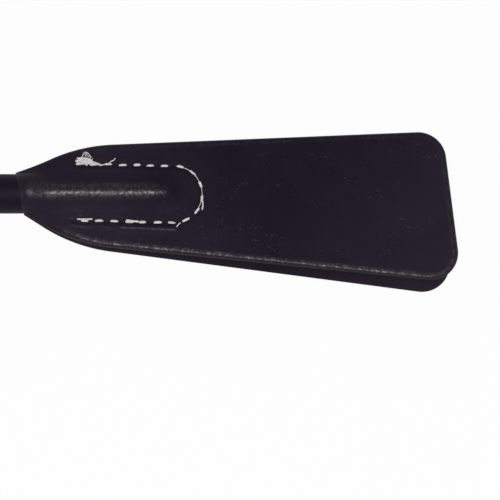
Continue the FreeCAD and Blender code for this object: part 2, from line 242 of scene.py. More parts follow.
# %% A material that is ready to be painted
class Paint(Sketch):
    """A material with a place on the piece and a shader to feed."""

    def __init__(self, name, **plain):
        self.material = bpy.data.materials.new(name)
        self.material.use_nodes = True
        super().__init__(self.material.node_tree)
        self.tree.nodes.clear()
        self.place = self.node("ShaderNodeTexCoord", {}, (), out="Object")
        self.shader = self.tree.nodes.new("ShaderNodeBsdfPrincipled")
        end = self.tree.nodes.new("ShaderNodeOutputMaterial")
        self.tree.links.new(self.shader.outputs[0], end.inputs[0])
        for key, value in plain.items():
            self.shader.inputs[key.replace("_", " ")].default_value = value

    def feed(self, socket, value):
        self.tree.links.new(value.socket, self.shader.inputs[socket])

    def painted(self, tone, roughness, normal):
        """Feeds the three sockets that every finish here varies, and gives the material."""
        for socket, value in (("Base Color", tone), ("Roughness", roughness), ("Normal", normal)):
            self.feed(socket, value)
        return self.material

    def stretched(self, x, y, z):
        """The place, with each axis scaled, for patterns that run one way."""
        return self.node("ShaderNodeVectorMath", {"operation": "MULTIPLY"}, (self.place, (x, y, z)))

    def noise(self, scale, detail=2.0, roughness=0.5, place=None, distortion=0.0):
        inputs = {"Vector": place or self.place, "Scale": scale, "Detail": detail, "Roughness": roughness,
                  "Distortion": distortion}
        return self.node("ShaderNodeTexNoise", {}, inputs)

    def cells(self, scale):
        return self.node("ShaderNodeTexVoronoi", {}, {"Vector": self.place, "Scale": scale})

    def measured(self, name):
        """A number that the piece keeps on its points."""
        return self.node("ShaderNodeAttribute", {"attribute_name": name}, (), out="Fac")

    def mixed(self, amount, first, second):
        return self.node("ShaderNodeMix", {"data_type": "RGBA"},
                         {"Factor_Float": amount, "A_Color": first, "B_Color": second}, out="Result_Color")

    def bump(self, height, strength, reach):
        return self.node("ShaderNodeBump", {}, {"Height": height, "Strength": strength, "Distance": reach})


# %% [markdown]
# ### Waxed bridle leather
# The flap is thick leather, dyed black right through with a cool cast. It is nearly black, so what the
# eye reads is its sheen, and that differs over the skin. The open grain is dull. Where the mould has
# stretched the skin over the rod, and along the cut edges, it is burnished and waxed, which a thin coat
# over the leather gives. The skin keeps two numbers on its points for this: `edge`, how far a place is
# from the cut edge in millimetres, and `ridge`, from 0 on the flat to 1 on the crest. The wax is patchy,
# so the coat breaks up into small glints. The grain is cells and noise in a bump. Painted sheen makes the
# colour paler towards the hide's two ends and its near side, and paler on the rounded cut edges and their
# walls. The tone also varies at random, and a few specks of dust show that it has been handled.


# %% Leather for the flap
def flap_leather():
    paint = Paint("flap_leather", Specular_IOR_Level=0.11, Specular_Tint=(0.86, 0.76, 1.0, 1),
                  Coat_Roughness=0.36, Coat_IOR=1.5)
    edge, ridge = paint.measured("edge"), paint.measured("ridge")
    along, across, _ = paint.parts(paint.place)
    broad = paint.noise(48, 3, 0.55)
    cloudy = paint.noise(240, 4, 0.6)
    fine = paint.noise(2600, 3, 0.6)
    pores = paint.cells(1500)
    # Nearness to the cut edge: it lowers the roughness where the edge is burnished, and it carries the
    # painted edge sheen.
    rim = edge.eased(0.15, 1.5, 1.0, 0.0)
    specks = paint.noise(1500, 2, 0.5).eased(0.66, 0.72) * paint.noise(150, 2, 0.5).eased(0.44, 0.62)
    scuff = paint.noise(420, 5, 0.7, paint.stretched(0.35, 1.0, 1.0)).eased(0.6, 0.78)
    # Painted sheen: the colour is mixed paler towards the hide's two ends and its near side, where the lamp's
    # sheen falls. The broad noise adds tone that varies at random.
    middle_x, sheen_at_ends, sheen_at_near_side = 0.515, 15, 12
    painted_sheen_gradient = (along - middle_x).size() * sheen_at_ends - across * sheen_at_near_side
    painted_sheen_and_tone = painted_sheen_gradient.between(0.0, 1.0) * 0.75 + broad.eased(0.3, 0.7) * 0.25
    tone = paint.mixed(painted_sheen_and_tone, (0.0040, 0.0032, 0.0092, 1), (0.0185, 0.0132, 0.0215, 1))
    tone = paint.mixed(scuff * 0.3, tone, (0.013, 0.011, 0.018, 1))
    # Painted sheen: the rounded cut edge is painted paler.
    tone = paint.mixed(rim * 0.5, tone, (0.013, 0.011, 0.016, 1))
    # Painted sheen: the cut wall is painted paler still.
    cut_wall = edge.eased(0.05, 0.5, 1.0, 0.0)
    tone = paint.mixed(cut_wall * 0.8, tone, (0.024, 0.021, 0.026, 1))
    tone = paint.mixed(specks * 0.35, tone, (0.10, 0.09, 0.10, 1))
    rough = 0.62 + (cloudy - 0.5) * 0.22 + (broad - 0.5) * 0.16 - rim * 0.12
    glints = paint.noise(1250, 3, 0.65).eased(0.42, 0.66)
    crest = ridge.eased(0.45, 0.98) * (0.30 + glints * 1.05)
    patches = paint.noise(260, 3, 0.6).eased(0.38, 0.62)
    away_from_neck = (along * 1000).eased(neck_x + 6.0, neck_x + 18.0)
    band = edge.eased(0.1, 0.5) * edge.eased(0.9, 2.1, 1.0, 0.0)
    waxed_rim = band * (0.16 + glints * (0.34 + patches * 0.75))
    near_side = (0.62 - across * 22).between(0.25, 1.0)
    waxed_rim = waxed_rim * away_from_neck * near_side
    paint.feed("Coat Weight", (crest + waxed_rim).between(0.0, 1.0))
    grain = pores * 0.5 + fine * 0.45 + paint.noise(700, 2, 0.5) * 0.5 + glints * ridge * 0.8
    return paint.painted(tone, rough.between(0.35, 0.95), paint.bump(grain, 0.32, 0.00014))


leather = flap_leather()
print("made", leather.name)

# %% [markdown]
# ## The flap's pattern
# Each leaf is cut from a flat hide: a narrow neck, two shoulders and a long flare to the far edge, with
# both end cuts slightly askew. A closed outline with rounded corners gives that pattern. The leaf is then
# laid out as a grid between its two long sides. The grid is closer near the edges, where the leather is
# rounded over.

# %% Sizes of the flap, in millimetres
braid_neck_radius, rod_tip_radius = 5.0, 2.2
rod_end_x = neck_x + 38.5
dome_x = rod_end_x - rod_tip_radius
ridge_rise, ridge_width = 2.0, 3.1
leaf_fit, leaf_thickness, skived_thickness, half_gap = 0.1, 2.0, 0.3, 0.15
skew = math.tan(math.radians(8))
neck_half, neck_lead = 5.3, 1.2
shoulder_from_neck, shoulder_half, shoulder_radius = 14.0, 12.6, 42.0
far_half, far_corner_radius = 19.5, 7.1
front_length, front_lean = 108.5, 1.9
back_length, back_lean = 107.0, 3.4
seam_start, seam_straight, seam_half = neck_x + 13.5, 24.75, 7.25
seam_drift = -0.02
seam_length = 2 * seam_straight + math.pi * seam_half
print(f"neck at {neck_x:.1f}, bending line at {hinge_x:.1f}")


# %% Outline of a leaf
def rounded_outline(corners, parts=28):
    """Points along a closed outline whose corners, given as place and radius, are rounded."""
    points = []
    for i, (corner, radius) in enumerate(corners):
        before, here, after = (np.array(corners[j % len(corners)][0], float) for j in (i - 1, i, i + 1))
        if not radius:
            points.append(here)
            continue
        back, on = before - here, after - here
        back, on = back / np.hypot(*back), on / np.hypot(*on)
        half = math.acos(back @ on) / 2
        middle = (back + on) / np.hypot(*(back + on))
        centre = here + middle * radius / math.sin(half)
        across = (on - back) / np.hypot(*(on - back))
        for turn in np.linspace(-(math.pi / 2 - half), math.pi / 2 - half, parts):
            points.append(centre + radius * (across * math.sin(turn) - middle * math.cos(turn)))
    return np.array(points)


def leaf_sides(length):
    """The closed outline, and the two long sides as (distance along, half width) with the skew taken out."""
    corners = [
        ((-skew * neck_half, neck_half), 0),
        ((shoulder_from_neck, shoulder_half), shoulder_radius),
        ((length - skew * far_half, far_half), far_corner_radius),
        ((length + skew * far_half, -far_half), far_corner_radius),
        ((shoulder_from_neck, -shoulder_half), shoulder_radius),
        ((skew * neck_half, -neck_half), 0),
    ]
    outline = rounded_outline(corners)
    level = outline[:, 0] + skew * outline[:, 1]
    upper, lower = outline[:, 1] > 0, outline[:, 1] < 0
    sides = []
    for chosen in (upper, lower):
        order = np.argsort(level[chosen])
        sides.append((level[chosen][order], outline[chosen][order][:, 1]))
    return outline, sides


def from_outline(points, outline):
    """How far each point lies from the nearest place on the outline."""
    nearest = np.full(len(points), 1e9)
    for a, b in zip(outline, np.roll(outline, -1, axis=0)):
        run = b - a
        along = np.clip(((points - a) @ run) / max(run @ run, 1e-12), 0, 1)
        nearest = np.minimum(nearest, np.hypot(*(points - a - along[:, None] * run).T))
    return nearest


# Steps inwards from a cut edge, in millimetres, close together where the leather is rounded over.
near = np.array([0, 0.03, 0.1, 0.2, 0.33, 0.5, 0.7, 0.95, 1.25, 1.6, 2.0])


def stations(start, stop, step, fine_start, fine_stop):
    """Places from start to stop, closer together at the ends that are cut edges."""
    first = start + near if fine_start else np.array([start])
    last = (stop - near)[::-1] if fine_stop else np.array([stop])
    count = max(2, round((last[0] - first[-1]) / step))
    return np.concatenate([first, np.linspace(first[-1], last[0], count + 1)[1:-1], last])


print("outline of", len(leaf_sides(front_length)[0]), "points")

# %% [markdown]
# ## The skin of a leaf
# Over the shaft the leather is formed into a tunnel with a domed nose, and beside it the two leaves lie
# flat on each other and are sewn. A height over each grid point gives the moulded face, and a second
# height gives the face underneath. At the mouth the leather is draped over the shaft: a smooth maximum
# joins the round to the flat, as thick leather can't make a sharp inside corner. Beyond it the rod is
# thin and the leather only swells over it in a low bell. Then come the small things that make it leather:
# the thread pulls the skin down along the seam, each needle hole is a dimple, the cut edges are rounded
# over, the edges at the neck are rolled down, and a few creases and folds cross it.


# %% Heights
def eased(value, low, high):
    """Goes smoothly from 0 to 1 while the value goes from low to high."""
    share = np.clip((value - low) / (high - low), 0, 1)
    return share * share * (3 - 2 * share)


def smooth_max(a, b, reach):
    near_equal = np.maximum(reach - np.abs(a - b), 0) / reach
    return np.maximum(a, b) + near_equal ** 2 * reach / 4


def draped(x, y, radius, level, reach):
    """Height of a face that lies over the shaft and its domed tip, and flat beside them."""
    away = np.hypot(np.maximum(x - dome_x, 0), y)
    return smooth_max(np.sqrt(np.maximum(radius ** 2 - away ** 2, 0)), level, reach)


def tunnel_radius(x):
    """The tunnel's bore: wide at its mouth, where it takes in the end of the braid, and narrow beyond."""
    mouth, beyond = braid_neck_radius + 0.03, rod_tip_radius + leaf_fit
    return mouth + (beyond - mouth) * eased(x, neck_x + 1.2, neck_x + 11.0)


def hide_thickness(x):
    """The hide is pared thin at the neck, so that hardly a step shows against the shaft."""
    return skived_thickness + (leaf_thickness - skived_thickness) * eased(x, neck_x, neck_x + 11.0)


def seam_track(x, y):
    """Distance from the seam's line, and how far along it the nearest place is."""
    centre = seam_start + seam_straight
    y = y - seam_drift * (x - seam_start)
    turn = np.clip(np.arctan2(x - centre, y), 0, math.pi)
    straight = np.clip(x, seam_start, centre)
    on_bend = x > centre
    across = np.where(on_bend, np.abs(np.hypot(x - centre, y) - seam_half),
                      np.hypot(x - straight, np.abs(y) - seam_half))
    along = np.where(on_bend, seam_straight + turn * seam_half,
                     np.where(y > 0, straight - seam_start, seam_length - (straight - seam_start)))
    return across, along


def ripple(x, y, size, seed):
    """A gentle unevenness: a few sine waves of about this length, in random directions."""
    chance = np.random.default_rng(seed)
    total = np.zeros_like(x)
    wave_count = 7
    for _ in range(wave_count):
        turn, wave = chance.uniform(0, 2 * math.pi), size * chance.uniform(0.7, 1.5)
        along = x * math.cos(turn) + y * math.sin(turn)
        total += np.sin(along * 2 * math.pi / wave + chance.uniform(0, 6.28))
    return total / wave_count


print("bore at the mouth and beyond:", tunnel_radius(np.array([neck_x, neck_x + 20])))

# %% The grid of one leaf
row_step, columns = 0.42, 112
neck_lead_reach = 8


def leaf_grid(length, lean, start, stop):
    """The grid of one part of a leaf: distance along the pattern, x, y, and distance from the cut edge."""
    outline, (upper, lower) = leaf_sides(length)
    rows = stations(start, stop, row_step, start == 0, stop == length)
    high, low = np.interp(rows, *upper)[:, None], np.interp(rows, *lower)[:, None]
    share = np.linspace(0, 1, columns)[None, 1:-1]
    v = np.hstack([low + near, low + near[-1] + (high - low - 2 * near[-1]) * share, high - near[::-1]])
    u = rows[:, None] - skew * v
    edge = from_outline(np.column_stack([u.ravel(), v.ravel()]), outline).reshape(u.shape)
    edge[:, 0] = edge[:, -1] = 0
    if start == 0:
        edge[0] = 0
    if stop == length:
        edge[-1] = 0
    turn = math.radians(lean)
    x = neck_x + u * math.cos(turn) + v * math.sin(turn)
    lead = np.clip(v / neck_half, 0, 1) * np.clip(1 - rows[:, None] / neck_lead_reach, 0, 1) ** 2
    y = -u * math.sin(turn) + v * math.cos(turn)
    return u, x - neck_lead * lead, y, edge


print("grid of the front leaf:", leaf_grid(front_length, front_lean, 0, front_length)[0].shape)

# %% The moulding, the seam's mark and the crest
stitch_count = 20
stitch_pitch = seam_length / stitch_count
mouth_fillet, bell_from, bell_whole = 3.4, 0.5, 14.0
pull_depth, pull_width, hole_depth, hole_radius = 0.16, 0.75, 0.28, 0.4
swell_height, swell_from_seam, swell_width = 0.05, 1.3, 0.6
crest_width, crest_fading = 3.0, 0.6


def moulded_face(x, y):
    """Height of the outer face: draped over the shaft at the mouth, a low bell over the thin rod beyond."""
    inner, thickness = tunnel_radius(x), hide_thickness(x)
    level = half_gap + thickness
    mouth = draped(x, y, inner + thickness, level, mouth_fillet)
    bell = level + ridge_rise * np.exp(-(np.maximum(x - dome_x, 0) ** 2 + y ** 2) / ridge_width ** 2)
    return mouth + (bell - mouth) * eased(x, neck_x + bell_from, neck_x + bell_whole)


def sewn(face, x, y):
    """The face as the seam leaves it: pulled down, a dimple at each needle hole, a low swelling beside it."""
    across, along = seam_track(x, y)
    from_hole = ((along / stitch_pitch + 0.5) % 1 - 0.5) * stitch_pitch
    pull = np.exp(-(across / pull_width) ** 2)
    hole = np.exp(-(across / hole_radius) ** 2 - (from_hole / hole_radius) ** 2)
    swelling = np.exp(-((across - swell_from_seam) / swell_width) ** 2)
    return face - pull_depth * pull - hole_depth * hole + swell_height * swelling


def crest(x, y):
    """1 on the crest, 0 on the flat. It begins at the mouth, fades along the rod and ends past its dome."""
    raised = np.exp(-(y / crest_width) ** 2) * eased(x, neck_x - 1.0, neck_x + 3.0)
    raised = raised * (1 - crest_fading * eased(x, dome_x - 6.0, dome_x + 4.5))
    return raised * (1 - eased(x, dome_x + 1.0, dome_x + 3.5))


print(f"{stitch_count} stitches at a pitch of {stitch_pitch:.2f}")

# %% Both faces of the skin
long_wave, short_wave = (0.07, 34), (0.022, 6)
roll_depth, roll_reach, roll_from, roll_until = 0.8, 2.6, 4.0, 20.0
under_sink, under_fillet = 0.10, 2.4
parting_share, face_rounding, under_rounding, fold_shine = 0.3, 0.95, 0.35, 0.62
# Each crease: where it starts and ends, its half width and its depth. A negative depth is a raised fold.
creases = [
    ((487.0, -3.0), (488.2, 1.6), 0.25, 0.12),
    ((488.4, -2.4), (489.4, 1.2), 0.22, 0.10),
    ((485.6, -3.2), (486.4, 0.2), 0.25, 0.08),
    ((477.0, -8.9), (491.0, -9.6), 0.95, -0.30),
    ((464.5, -8.3), (469.0, -9.0), 0.80, -0.16),
    ((552.0, -8.4), (556.3, -8.5), 0.12, 0.05),
    ((471.5, -8.6), (474.5, -9.1), 0.35, -0.10),
    ((464.0, -6.5), (466.8, -7.2), 0.50, -0.08),
]


def quarter_round(share):
    return np.sqrt(np.clip(1 - (1 - np.clip(share, 0, 1)) ** 2, 0, 1))


def crease(x, y, start, end, width, depth):
    """A short groove in the skin from one place to another."""
    start, end = np.array(start, float), np.array(end, float)
    run = end - start
    along = ((x - start[0]) * run[0] + (y - start[1]) * run[1]) / (run @ run)
    clipped = np.clip(along, 0, 1)
    away = np.hypot(x - start[0] - clipped * run[0], y - start[1] - clipped * run[1])
    return -depth * np.exp(-(away / width) ** 2)


def both_faces(u, x, y, edge, seed):
    """Heights of the outer and the inner face, and how far each place is raised."""
    raised = crest(x, y)
    face = sewn(moulded_face(x, y), x, y)
    face = face + long_wave[0] * ripple(x, y, long_wave[1], seed)
    face = face + short_wave[0] * ripple(x, y, short_wave[1], seed + 1)
    rolled = np.exp(-edge / roll_reach) * (1 - eased(u, roll_from, roll_until)) * (1 - raised)
    face = face - roll_depth * rolled
    for groove in creases:
        fold = crease(x, y, *groove)
        face = face + fold
        raised = np.maximum(raised, fold_shine * fold / abs(groove[-1]))
    under = draped(x, y, tunnel_radius(x), half_gap - under_sink, under_fillet)
    parting = under + (face - under) * parting_share
    top = parting + (face - parting) * quarter_round(edge / face_rounding)
    bottom = parting - (parting - under) * quarter_round(edge / under_rounding)
    return top, bottom, raised


print(len(creases), "creases and folds")


# %% Closed skins
def closed(mesh):
    """Merges points that coincide and turns every face outwards."""
    work = bmesh.new()
    work.from_mesh(mesh)
    bmesh.ops.remove_doubles(work, verts=work.verts, dist=0.0005 * MM)
    bmesh.ops.recalc_face_normals(work, faces=work.faces)
    open_edges = sum(not edge.is_manifold for edge in work.edges)
    work.to_mesh(mesh)
    work.free()
    mesh.shade_smooth()
    print(mesh.name, "open edges:", open_edges)


def skin_faces(shape):
    """Four-sided faces of an upper grid, the same grid below it, and the wall between their rims."""
    index = np.arange(shape[0] * shape[1]).reshape(shape)
    a, b, c, d = index[:-1, :-1], index[1:, :-1], index[1:, 1:], index[:-1, 1:]
    cells = np.stack([a, b, c, d], axis=-1).reshape(-1, 4)
    below = cells[:, ::-1] + index.size
    rim = np.concatenate([index[0, :-1], index[:-1, -1], index[-1, :0:-1], index[:0:-1, 0]])
    rim_next = np.roll(rim, -1)
    wall = np.column_stack([rim, rim_next, rim_next + index.size, rim + index.size])
    return np.concatenate([cells, below, wall])


def leaf_skin(name, length, lean, start, stop, side, seed):
    """A closed skin for the part of a leaf between two distances from its neck."""
    u, x, y, edge = leaf_grid(length, lean, start, stop)
    top, bottom, raised = both_faces(u, x, y, edge, seed)
    layers = [np.column_stack([x.ravel(), y.ravel(), side * z.ravel()]) for z in (top, bottom)]
    mesh = bpy.data.meshes.new(name)
    mesh.from_pydata(np.concatenate(layers) * MM, [], skin_faces(x.shape).tolist())
    # The back leaf's edge numbers are raised by 2 mm, so its edges get neither the wax coat nor the painted
    # edge sheen.
    no_wax_or_edge_sheen = 0 if side > 0 else 2.0
    for key, value in (("edge", edge + no_wax_or_edge_sheen), ("ridge", raised)):
        mesh.attributes.new(key, "FLOAT", "POINT").data.foreach_set("value", np.tile(value.ravel(), 2))
    piece = linked(bpy.data.objects.new(name, mesh))
    closed(mesh)
    mesh.set_sharp_from_angle(angle=math.radians(70))
    mesh.materials.append(leather)
    return piece


front_leaf = leaf_skin("front_leaf", front_length, front_lean, 0, front_length, 1, 5)
finished(front_leaf, None, "black_leather", "front_leaf_sewn", "front_leaf_free")
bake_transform(front_leaf)

# %% [markdown]
# The back leaf is the same leather turned over. It can open away from the front leaf, so it is skinned in
# two pieces that meet at one cut.

# %% Back leaf
back_split = 60.0
back_root = leaf_skin("back_leaf_root", back_length, back_lean, 0, back_split, -1, 11)
finished(back_root, None, "black_leather", "back_leaf_sewn")
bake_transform(back_root)
back_tip = leaf_skin("back_leaf_tip", back_length, back_lean, back_split, back_length, -1, 11)
finished(back_tip, None, "black_leather", "back_leaf_free")
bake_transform(back_tip)

# %% [markdown]
# ## The seam
# White waxed thread is sewn in a U round the tunnel. Each stitch is two plies twisted together, lies on
# the leather and dives into a needle hole at both ends. One stitch is a short cylinder whose points a
# rule moves into that shape, and the path is a line whose points a rule moves onto the U. Small random
# turns keep the row from looking machine-made.


# %% White thread
def thread_paint(name, colour, dark, rough, scale):
    paint = Paint(name, Sheen_Weight=0.3, Sheen_Roughness=0.5)
    fibre = paint.noise(scale, 3, 0.6)
    soil = paint.noise(scale * 0.12, 2, 0.5)
    tone = paint.mixed(fibre.eased(0.3, 0.7) * 0.6 + soil.eased(0.45, 0.7) * 0.4, colour, dark)
    roughness = (rough + (fibre - 0.5) * 0.2).between(0.3, 1.0)
    return paint.painted(tone, roughness, paint.bump(fibre, 0.5, 0.00008))


white_thread = thread_paint("white_thread", (0.78, 0.76, 0.75, 1), (0.47, 0.45, 0.46, 1), 0.7, 6000)


def twisted(recipe, round_by, twist, wide, high):
    """A unit cylinder's points as two plies: offsets across and up, and the place along from -0.5 to 0.5."""
    x, y, along = recipe.parts(recipe.node("GeometryNodeInputPosition"))
    angle = y.step("ARCTAN2", x)
    groove = 0.20
    ply = (1 - groove) + groove * (angle - along * twist).cos().size()
    end = (1 - (along * 2).size() ** round_by).at_least(0.02) ** 0.5
    return angle.cos() * ply * end * wide, angle.sin() * ply * end * high, along


def seam(name, side, seed_value, shift):
    recipe = Recipe(name)
    pitch = recipe.size("pitch", stitch_pitch * MM)
    straight = recipe.size("straight", seam_straight * MM)
    bend = recipe.size("bend radius", seam_half * MM)
    long = recipe.size("stitch length", 2.15 * MM)
    thick = recipe.size("thread", 0.32 * MM)
    level = recipe.size("level", (half_gap + leaf_thickness) * MM)
    seed = recipe.size("seed", seed_value, "NodeSocketInt")
    count = recipe.size("count", stitch_count, "NodeSocketInt")

    # The thread is pressed a little flat, and the stitch dips steeply at both ends.
    across, up, along = twisted(recipe, 3.6, 16.0, thick, thick * 0.72)
    dip = (along * 2).size() ** 5.0 * thick * 1.5
    rope = recipe.node("GeometryNodeMeshCylinder", {}, {"Vertices": 14, "Side Segments": 20, "Radius": 1.0,
                                                        "Depth": 1.0})
    stitch = recipe.placed(rope, recipe.joined(along * long, across, up + thick * 0.42 - dip))

    index = recipe.node("GeometryNodeInputIndex")
    run = (index + 0.5) * pitch + recipe.size("shift", shift * MM) + recipe.chance(-0.00025, 0.00025, seed)
    turn = ((run - straight) / bend).between(0.0, math.pi)
    bend_length = bend * math.pi
    x = run.at_most(straight) - (run - straight - bend_length).at_least(0.0) + turn.sin() * bend
    drift = recipe.size("drift", seam_drift * side)
    y = turn.cos() * bend + x * drift + recipe.chance(-0.00012, 0.00012, seed + 1)
    start = recipe.size("start", seam_start * MM)
    path = recipe.placed(recipe.line(count), recipe.joined(x + start, y, level))
    angle = -turn + recipe.chance(-0.10, 0.10, seed + 2)
    stretch = recipe.joined(recipe.chance(0.86, 1.06, seed + 3), recipe.chance(0.9, 1.12, seed + 4), 1.0)
    row = recipe.node("GeometryNodeInstanceOnPoints", {}, {
        "Points": path, "Instance": stitch, "Rotation": recipe.joined(0.0, 0.0, angle), "Scale": stretch})
    if side < 0:
        row = recipe.node("GeometryNodeTransform", {}, {"Geometry": row, "Rotation": (math.pi, 0, 0)})
    return recipe.bake(name, row, white_thread)


finished(seam("seam_front", 1, 3, -0.9), "crop", "white_thread", "front_stitches")
finished(seam("seam_back", -1, 8, 0.0), "crop", "white_thread", "back_stitches")


# %% [markdown]
# ## Where the seam was begun
# The sewer began at the upper row with a few stitches over each other and left the ends untrimmed. Such a
# knot follows no rule, so each strand is a short curve through a few places: how far along from the
# seam's start, how far across and how high over the leather, then its thickness. The other strays of the
# seam are laid the same way.

# %% Knot and stray ends
# Each strand: its places as (along, across, height), and its thickness.
strands_of_knot = [
    ([(0.1, 7.9, 0.1), (2.0, 8.2, 0.6), (4.1, 7.6, 0.2)], 0.34),
    ([(0.3, 7.2, 0.1), (2.3, 7.4, 0.6), (4.6, 7.4, 0.2)], 0.36),
    ([(1.0, 8.6, 0.2), (2.6, 8.6, 0.9), (4.3, 8.0, 0.3)], 0.30),
    ([(1.6, 7.1, 0.6), (3.2, 7.9, 1.1), (5.0, 7.4, 0.6), (6.5, 6.9, 0.0)], 0.28),
    ([(0.6, 8.7, 0.2), (1.6, 7.8, 1.0), (3.0, 6.9, 0.1)], 0.28),
    ([(2.0, 8.4, 0.6), (1.6, 9.5, 0.8), (2.6, 10.3, 0.8), (3.7, 9.6, 0.7), (3.8, 8.3, 0.5)], 0.07),
    ([(2.4, 8.3, 0.7), (2.4, 9.2, 1.0), (3.1, 9.7, 0.9), (3.5, 8.7, 0.7)], 0.06),
    ([(1.4, 8.5, 0.6), (2.2, 9.8, 1.1), (3.4, 9.9, 1.0), (4.4, 8.4, 0.4)], 0.05),
    ([(2.7, 8.4, 0.6), (2.5, 9.9, 0.9), (2.9, 10.1, 0.9), (3.1, 8.4, 0.5)], 0.05),
    ([(6.2, 7.0, 0.1), (6.9, 6.9, 0.2), (7.5, 7.1, 0.1)], 0.14),
    ([(8.4, 7.2, 0.3), (9.0, 7.9, 0.4), (9.7, 8.0, 0.4), (10.0, 8.7, 0.2)], 0.14),
    ([(0.7, -6.9, 0.0), (2.5, -7.0, 0.3), (4.5, -6.9, 0.0)], 0.20),
    ([(13.0, -7.2, 0.2), (14.6, -7.5, 0.3), (16.2, -7.6, 0.2)], 0.26),
    ([(26.6, -7.9, 0.2), (25.9, -8.4, 0.2), (25.5, -9.1, 0.1)], 0.14),
    ([(31.7, -1.2, 0.1), (32.5, -2.7, 0.4), (32.0, -4.6, 0.1)], 0.18),
]
bend_start_turn, bend_end_turn, bend_places, bend_thickness = 0.1, 2.3, 12, 0.08
bend_strand = []
for turn in np.linspace(bend_start_turn, bend_end_turn, bend_places):
    along = seam_straight + seam_half * math.sin(turn)
    across = seam_half * math.cos(turn) + seam_drift * seam_straight
    bend_strand.append((along, across, 0.0))
strands_of_knot.append((bend_strand, bend_thickness))


def laid(name, laid_strands, material):
    """Round strands on smooth curves, as one mesh."""
    whole = bpy.data.meshes.new(name)
    work = bmesh.new()
    for places, thick in laid_strands:
        curve = bpy.data.curves.new(name, "CURVE")
        curve.dimensions = "3D"
        curve.bevel_depth = thick * MM
        curve.bevel_resolution = 2
        curve.use_fill_caps = True
        curve.resolution_u = 6
        spline = curve.splines.new("NURBS")
        spline.points.add(len(places) - 1)
        for knot, (along, across, up) in zip(spline.points, places):
            level = half_gap + leaf_thickness + up
            knot.co = ((seam_start + along) * MM, across * MM, level * MM, 1)
        spline.use_endpoint_u = True
        spline.order_u = 3
        holder = linked(bpy.data.objects.new(name, curve))
        piece = bpy.data.meshes.new_from_object(holder.evaluated_get(bpy.context.evaluated_depsgraph_get()))
        work.from_mesh(piece)
        bpy.data.objects.remove(holder)
    work.to_mesh(whole)
    work.free()
    whole.materials.append(material)
    closed(whole)
    return linked(bpy.data.objects.new(name, whole))


finished(laid("seam_knot", strands_of_knot, white_thread), "crop", "white_thread", "front_stitches")

# %% [markdown]
# ## A tube that folds back on itself
# The braided cover and the wound grip are both sleeves whose outside follows a rule. A cylinder's rows
# are laid along the outside, and the last three turn in and run back along the bore to the first row,
# where the doubled points are merged. The outside's radius is a formula of the distance along and the
# angle round.

# %% Sleeve recipe
def sleeve(name, start, end, rows, around, outside, bore, material):
    recipe = Recipe(name)
    rope = recipe.node("GeometryNodeMeshCylinder", {"fill_type": "NONE"}, {
        "Vertices": around, "Side Segments": rows + 3, "Radius": 1.0, "Depth": 1.0})
    y, z, along = recipe.parts(recipe.node("GeometryNodeInputPosition"))
    row = ((along + 0.5) * (rows + 3)).step("ROUND")
    angle = z.step("ARCTAN2", y)
    first, last = recipe.size("start", start * MM), recipe.size("end", end * MM)
    share = (row / rows).at_most(1.0) - (row > rows + 1.5)
    x = first + (last - first) * share
    inside = (row > rows + 0.5) - (row > rows + 2.5)
    out, hole = outside(recipe, x / MM, angle) * MM, bore(x / MM) * MM
    radius = out + (hole - out) * inside
    shaped = recipe.placed(rope, recipe.joined(x, angle.cos() * radius, angle.sin() * radius))
    merged = recipe.node("GeometryNodeMergeByDistance", {}, {"Geometry": shaped, "Distance": 1e-7})
    piece = recipe.bake(name, merged, material)
    closed(piece.data)
    return piece


# %% [markdown]
# ## The braided cover
# Thirty-two flat strands of waxed thread run round the rod, half of them each way, and each goes over two
# and under two. On the unrolled sleeve the two families are stripes in two slanting coordinates. Each
# stripe is slightly crowned, a slow wave along the shaft lifts one family where it sinks the other, and
# the higher of the two is the surface. The wax fills it, so the relief is less than a tenth of a
# millimetre.

# %% Braid
strands, lay = 16, 38.0
shaft_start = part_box("braided_cover")[0].x / MM
cover_end = neck_x + 0.9
butt_x, braid_butt_radius = 28.0, 5.75
bore_butt_radius, bore_neck_radius = 4.35, 3.60
strand_crown, strand_dip = 0.16, 0.022
half_strand_on = 64.5


def braid_paint():
    paint = Paint("braid_paint", Specular_IOR_Level=0.14, Specular_Tint=(0.86, 0.78, 1.0, 1))
    wax = paint.noise(90, 3, 0.5)
    fibre = paint.noise(5200, 2, 0.6, paint.stretched(0.4, 1, 1))
    tone = paint.mixed(wax.eased(0.35, 0.65), (0.0048, 0.0036, 0.0092, 1), (0.0066, 0.0050, 0.0112, 1))
    roughness = (0.60 + (wax - 0.5) * 0.25 + (fibre - 0.5) * 0.2).between(0.25, 0.9)
    return paint.painted(tone, roughness, paint.bump(fibre, 0.3, 0.00006))


def braid_radius(recipe, x, angle):
    slant = x * (2 * math.pi / lay)
    right = (angle - slant) * (strands / (2 * math.pi))
    left = (angle + slant) * (strands / (2 * math.pi))
    wave = ((left - right) * (math.pi / 2)).cos() * strand_dip
    crown_right = ((right + half_strand_on).fraction() - 0.5) ** 2.0 * strand_crown
    crown_left = ((left + half_strand_on).fraction() - 0.5) ** 2.0 * strand_crown
    relief = (wave - crown_right).at_least(-wave - crown_left) - strand_dip
    taper = (braid_neck_radius - braid_butt_radius) / (neck_x - butt_x)
    return braid_butt_radius + (x - butt_x) * taper + relief


def braid_core(x):
    return bore_butt_radius + (x - butt_x) * ((bore_neck_radius - bore_butt_radius) / (neck_x - butt_x))


cover = sleeve("braid", shaft_start, cover_end, 900, 96, braid_radius, braid_core, braid_paint())
finished(cover, "crop", "black_braid", "braided_cover")

# %% [markdown]
# ## The wound grip
# A leather strip 15 mm wide is wound round the wooden core, each turn overlapping the last. Across one
# turn the surface rises to the exposed edge of the strip and drops there, so a ramp that turns with the
# angle gives the laps. The edge is rounded and the strip swells a little between its edges.


